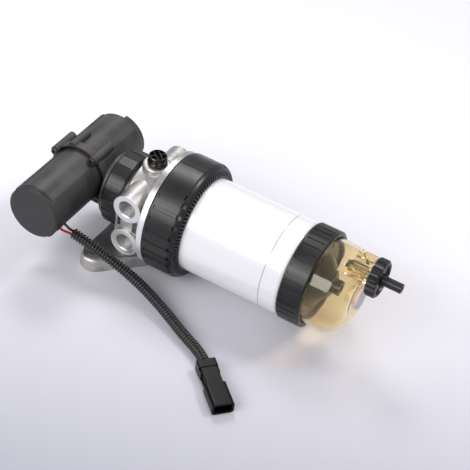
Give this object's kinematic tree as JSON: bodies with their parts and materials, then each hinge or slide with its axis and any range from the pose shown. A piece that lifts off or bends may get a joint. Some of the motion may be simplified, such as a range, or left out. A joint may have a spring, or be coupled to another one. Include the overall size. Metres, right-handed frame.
{
  "type": "fuel water separator",
  "caption": "Fuel filter and water separator with a cast head, spin-on canister, clear drain bowl and electric lift pump.",
  "frame": {"origin": "midway between the two bolt holes, on the mounting face of the foot", "axes": "+X along the canister axis from the pump towards the bowl, +Y along the pump axis away from the ports' open ends, +Z away from the mounting face"},
  "size_m": [0.3206, 0.1933, 0.1059],
  "materials": {
    "cast_head": "bare die casting, satin",
    "ring_black": "moulded, semi gloss",
    "pump_plastic": "moulded, satin",
    "canister_white": "glossy enamel",
    "bowl_amber": "clear tinted plastic",
    "cap_dark": "moulded",
    "seal_rubber": "moulded rubber",
    "media_paper": "pleated filter paper",
    "plug_grey": "moulded",
    "screw_steel": "black oxide",
    "motor_steel": "plated",
    "magnet_ferrite": "sintered",
    "copper": "wound copper",
    "bronze": "sintered bronze",
    "wire_red": "wire sleeve",
    "wire_black": "wire sleeve",
    "conduit_black": "ribbed sleeve",
    "connector_black": "moulded",
    "terminal_tin": "tin plated"
  },
  "bodies": {
    "head": {"filter_head": "cast_head", "canister_shell": "canister_white", "canister_gasket": "seal_rubber", "top_cap": "cap_dark", "centre_tube": "cap_dark", "pleated_paper": "media_paper", "lower_cap": "cap_dark", "bowl": "bowl_amber", "bowl_seal": "seal_rubber", "sensor_port_plug": "plug_grey", "pump_front_shell": "pump_plastic", "wire_grommet": "seal_rubber", "pump_end_cap": "pump_plastic", "pump_rear_shell": "pump_plastic", "neck_o_ring": "seal_rubber", "pump_seal": "seal_rubber", "pump_screws": "screw_steel", "motor_can": "motor_steel", "magnets": "magnet_ferrite", "front_bearing": "bronze", "rear_bearing": "bronze", "brush_holder": "cap_dark", "brushes": "magnet_ferrite", "inlet_plate": "motor_steel", "outlet_plate": "motor_steel", "conduit": "conduit_black", "red_wire": "wire_red", "black_wire": "wire_black", "connector_boot": "connector_black", "connector_body": "connector_black", "connector_terminals": "terminal_tin"},
    "lock_ring_body": {"lock_ring": "ring_black"},
    "bowl_ring_body": {"bowl_ring": "ring_black"},
    "pump_collar_body": {"pump_collar": "ring_black"},
    "rotor": {"armature_core": "motor_steel", "windings": "copper", "commutator": "copper", "motor_shaft": "motor_steel", "impeller": "cap_dark"},
    "vent_lift_body": {"vent_o_ring": "seal_rubber"},
    "vent_plug_body": {"vent_plug": "ring_black"},
    "drain_lift_body": {"drain_o_ring": "seal_rubber"},
    "drain_valve_body": {"drain_valve": "ring_black"}
  },
  "joints": [
    {"name": "lock_ring_turn", "type": "hinge", "parent": "head", "child": "lock_ring_body", "pos_m": [0.06, 0, 0.054], "axis": [1, 0, 0], "range_deg": [0, 60]},
    {"name": "bowl_ring_turn", "type": "hinge", "parent": "head", "child": "bowl_ring_body", "pos_m": [0.18, 0, 0.054], "axis": [1, 0, 0], "range_deg": [0, 60]},
    {"name": "pump_collar_turn", "type": "hinge", "parent": "head", "child": "pump_collar_body", "pos_m": [0, 0, 0.054], "axis": [1, 0, 0], "range_deg": [0, 60]},
    {"name": "rotor_spin", "type": "hinge", "parent": "head", "child": "rotor", "pos_m": [-0.0372, -0.04, 0.0642], "axis": [0, 1, 0], "continuous": true},
    {"name": "vent_lift", "type": "slide", "parent": "head", "child": "vent_lift_body", "axis": [0, 0, 1], "range_m": [0, 0.0015]},
    {"name": "vent_turn", "type": "hinge", "parent": "vent_lift_body", "child": "vent_plug_body", "pos_m": [0.0261, 0, 0.095], "axis": [0, 0, 1], "range_deg": [0, 540]},
    {"name": "drain_lift", "type": "slide", "parent": "head", "child": "drain_lift_body", "axis": [1, 0, 0], "range_m": [0, 0.004]},
    {"name": "drain_turn", "type": "hinge", "parent": "drain_lift_body", "child": "drain_valve_body", "pos_m": [0.23, 0.001, 0.0815], "axis": [1, 0, 0], "range_deg": [0, 720]}
  ],
  "couplings": [
    {"joint": "vent_turn", "follows": "vent_lift", "rad_per_m": 6283},
    {"joint": "drain_turn", "follows": "drain_lift", "rad_per_m": 3141.5}
  ]
}
